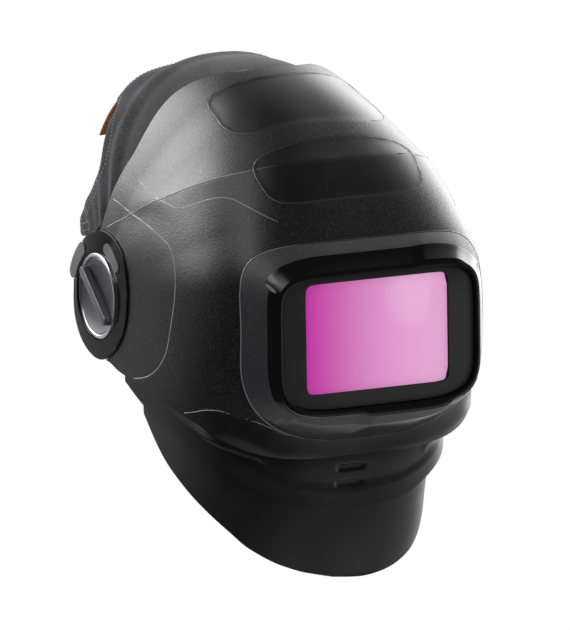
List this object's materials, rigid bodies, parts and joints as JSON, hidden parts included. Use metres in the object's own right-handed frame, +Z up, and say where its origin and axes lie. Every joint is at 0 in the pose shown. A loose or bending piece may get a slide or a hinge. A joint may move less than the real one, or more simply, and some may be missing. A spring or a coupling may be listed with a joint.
{
  "type": "powered air respirator headtop",
  "caption": "Powered air welding headtop: a dark flip-up shield over a clear visor on a ratchet headband, with an air duct, cloth and leather head cover and a throat guard.",
  "frame": {"origin": "midpoint between the two pivots that the visor and the shield turn on, level with the wearer's temples", "axes": "+X to the wearer's left along the pivot axis, front towards -Y, +Z up"},
  "size_m": [0.2334, 0.3302, 0.3326],
  "materials": {
    "outer_shell": "satin moulded nylon with fine sparkle",
    "front_frame": "glossy with textured flats",
    "cover_plate": "clear polycarbonate with a black border",
    "filter_housing": "moulded",
    "filter_glass": "magenta interference coating",
    "shutter_panel": "liquid crystal panel",
    "circuit_board": "solder mask",
    "inner_cover_plate": "clear",
    "retaining_frame": "moulded",
    "light_sensor_right": "dark red lens",
    "light_sensor_left": "dark red lens",
    "battery_holder_right": "moulded",
    "battery_holder_left": "moulded",
    "shade_button": "matt",
    "sensitivity_button": "matt",
    "mode_button": "matt",
    "pivot_bezel_right": "glossy",
    "pivot_bezel_left": "glossy",
    "tension_knob_right": "glossy grey with a bright rim",
    "tension_knob_left": "glossy grey with a bright rim",
    "front_pad_right": "moulded",
    "front_pad_left": "moulded",
    "rear_pad_right": "moulded",
    "rear_pad_left": "moulded",
    "visor_frame": "moulded",
    "clear_visor": "clear",
    "visor_seal": "matt",
    "chin_cover": "matt, with a satin lower band",
    "throat_guard": "smooth matt",
    "face_seal": "flame resistant cloth",
    "headband_front": "moulded",
    "brow_pad": "soft wipe-down pad",
    "crown_strap_front": "moulded",
    "crown_strap_rear": "moulded",
    "side_arm_right": "moulded",
    "side_arm_left": "moulded",
    "pivot_bolt_right": "turned",
    "pivot_bolt_left": "turned",
    "rear_strap": "moulded",
    "nape_pad": "soft wipe-down pad",
    "ratchet_housing": "moulded",
    "ratchet_knob": "ribbed",
    "rear_duct": "glossy, finely ribbed",
    "crown_duct": "moulded",
    "air_deflector": "moulded",
    "rear_patch": "orange tan",
    "inlet_socket": "moulded",
    "inlet_seal": "matt",
    "inlet_swivel": "glossy",
    "head_cover": "woven flame resistant cloth",
    "leather_band": "grey split leather, double stitched"
  },
  "bodies": {
    "harness": {"headband_front": "headband_front", "brow_pad": "brow_pad", "crown_strap_front": "crown_strap_front", "crown_strap_rear": "crown_strap_rear", "side_arm_right": "side_arm_right", "side_arm_left": "side_arm_left", "pivot_bolt_right": "pivot_bolt_right", "pivot_bolt_left": "pivot_bolt_left", "rear_duct": "rear_duct", "crown_duct": "crown_duct", "inlet_socket": "inlet_socket", "inlet_seal": "inlet_seal", "head_cover": "head_cover", "leather_band": "leather_band", "rear_patch": "rear_patch"},
    "visor_unit": {"visor_frame": "visor_frame", "clear_visor": "clear_visor", "visor_seal": "visor_seal", "chin_cover": "chin_cover", "throat_guard": "throat_guard", "face_seal": "face_seal"},
    "shield": {"outer_shell": "outer_shell", "front_frame": "front_frame", "cover_plate": "cover_plate", "filter_housing": "filter_housing", "filter_glass": "filter_glass", "shutter_panel": "shutter_panel", "circuit_board": "circuit_board", "inner_cover_plate": "inner_cover_plate", "retaining_frame": "retaining_frame", "light_sensor_right": "light_sensor_right", "light_sensor_left": "light_sensor_left", "battery_holder_right": "battery_holder_right", "battery_holder_left": "battery_holder_left", "pivot_bezel_right": "pivot_bezel_right", "pivot_bezel_left": "pivot_bezel_left"},
    "knob_right": {"tension_knob_right": "tension_knob_right"},
    "front_press_right": {"front_pad_right": "front_pad_right"},
    "rear_press_right": {"rear_pad_right": "rear_pad_right"},
    "knob_left": {"tension_knob_left": "tension_knob_left"},
    "front_press_left": {"front_pad_left": "front_pad_left"},
    "rear_press_left": {"rear_pad_left": "rear_pad_left"},
    "shade_button": {"shade_button": "shade_button"},
    "sensitivity_button": {"sensitivity_button": "sensitivity_button"},
    "mode_button": {"mode_button": "mode_button"},
    "rear_cradle": {"rear_strap": "rear_strap", "nape_pad": "nape_pad", "ratchet_housing": "ratchet_housing"},
    "ratchet": {"ratchet_knob": "ratchet_knob"},
    "deflector": {"air_deflector": "air_deflector"},
    "swivel": {"inlet_swivel": "inlet_swivel"}
  },
  "joints": [
    {"name": "visor_lift", "type": "hinge", "parent": "harness", "child": "visor_unit", "pos_m": [0, 0, 0], "axis": [-1, 0, 0], "range_deg": [0, 35]},
    {"name": "shield_flip", "type": "hinge", "parent": "visor_unit", "child": "shield", "pos_m": [0, 0, 0], "axis": [-1, 0, 0], "range_deg": [0, 65]},
    {"name": "tension_right", "type": "hinge", "parent": "shield", "child": "knob_right", "pos_m": [-0.1135, 0, 0], "axis": [-0.9973, 0.0732, 0], "range_deg": [0, 180]},
    {"name": "front_pad_press_right", "type": "slide", "parent": "shield", "child": "front_press_right", "axis": [1, 0, 0], "range_m": [0, 0.0014], "stiffness_N_per_m": 600},
    {"name": "rear_pad_press_right", "type": "slide", "parent": "shield", "child": "rear_press_right", "axis": [1, 0, 0], "range_m": [0, 0.0014], "stiffness_N_per_m": 600},
    {"name": "tension_left", "type": "hinge", "parent": "shield", "child": "knob_left", "pos_m": [0.1135, 0, 0], "axis": [0.9973, 0.0732, 0], "range_deg": [0, 180]},
    {"name": "front_pad_press_left", "type": "slide", "parent": "shield", "child": "front_press_left", "axis": [-1, 0, 0], "range_m": [0, 0.0014], "stiffness_N_per_m": 600},
    {"name": "rear_pad_press_left", "type": "slide", "parent": "shield", "child": "rear_press_left", "axis": [-1, 0, 0], "range_m": [0, 0.0014], "stiffness_N_per_m": 600},
    {"name": "shade_button_press", "type": "slide", "parent": "shield", "child": "shade_button", "axis": [0, -0.9995, 0.0314], "range_m": [0, 0.001], "stiffness_N_per_m": 100},
    {"name": "sensitivity_button_press", "type": "slide", "parent": "shield", "child": "sensitivity_button", "axis": [0, -0.9995, 0.0314], "range_m": [0, 0.001], "stiffness_N_per_m": 100},
    {"name": "mode_button_press", "type": "slide", "parent": "shield", "child": "mode_button", "axis": [0, -0.9995, 0.0314], "range_m": [0, 0.001], "stiffness_N_per_m": 100},
    {"name": "band_size", "type": "slide", "parent": "harness", "child": "rear_cradle", "axis": [0, -1, 0], "range_m": [0, 0.01]},
    {"name": "ratchet_turn", "type": "hinge", "parent": "rear_cradle", "child": "ratchet", "pos_m": [0, 0.1162, -0.034], "axis": [0, 1, 0], "range_deg": [0, 364]},
    {"name": "deflector_tilt", "type": "hinge", "parent": "harness", "child": "deflector", "pos_m": [0, -0.054, 0.11299], "axis": [1, 0, 0], "range_deg": [-20, 20]},
    {"name": "inlet_turn", "type": "hinge", "parent": "harness", "child": "swivel", "pos_m": [0, 0.134, -0.0067], "axis": [0, 0, 1], "continuous": true}
  ],
  "couplings": [
    {"joint": "ratchet_turn", "follows": "band_size", "rad_per_m": 628.32}
  ]
}
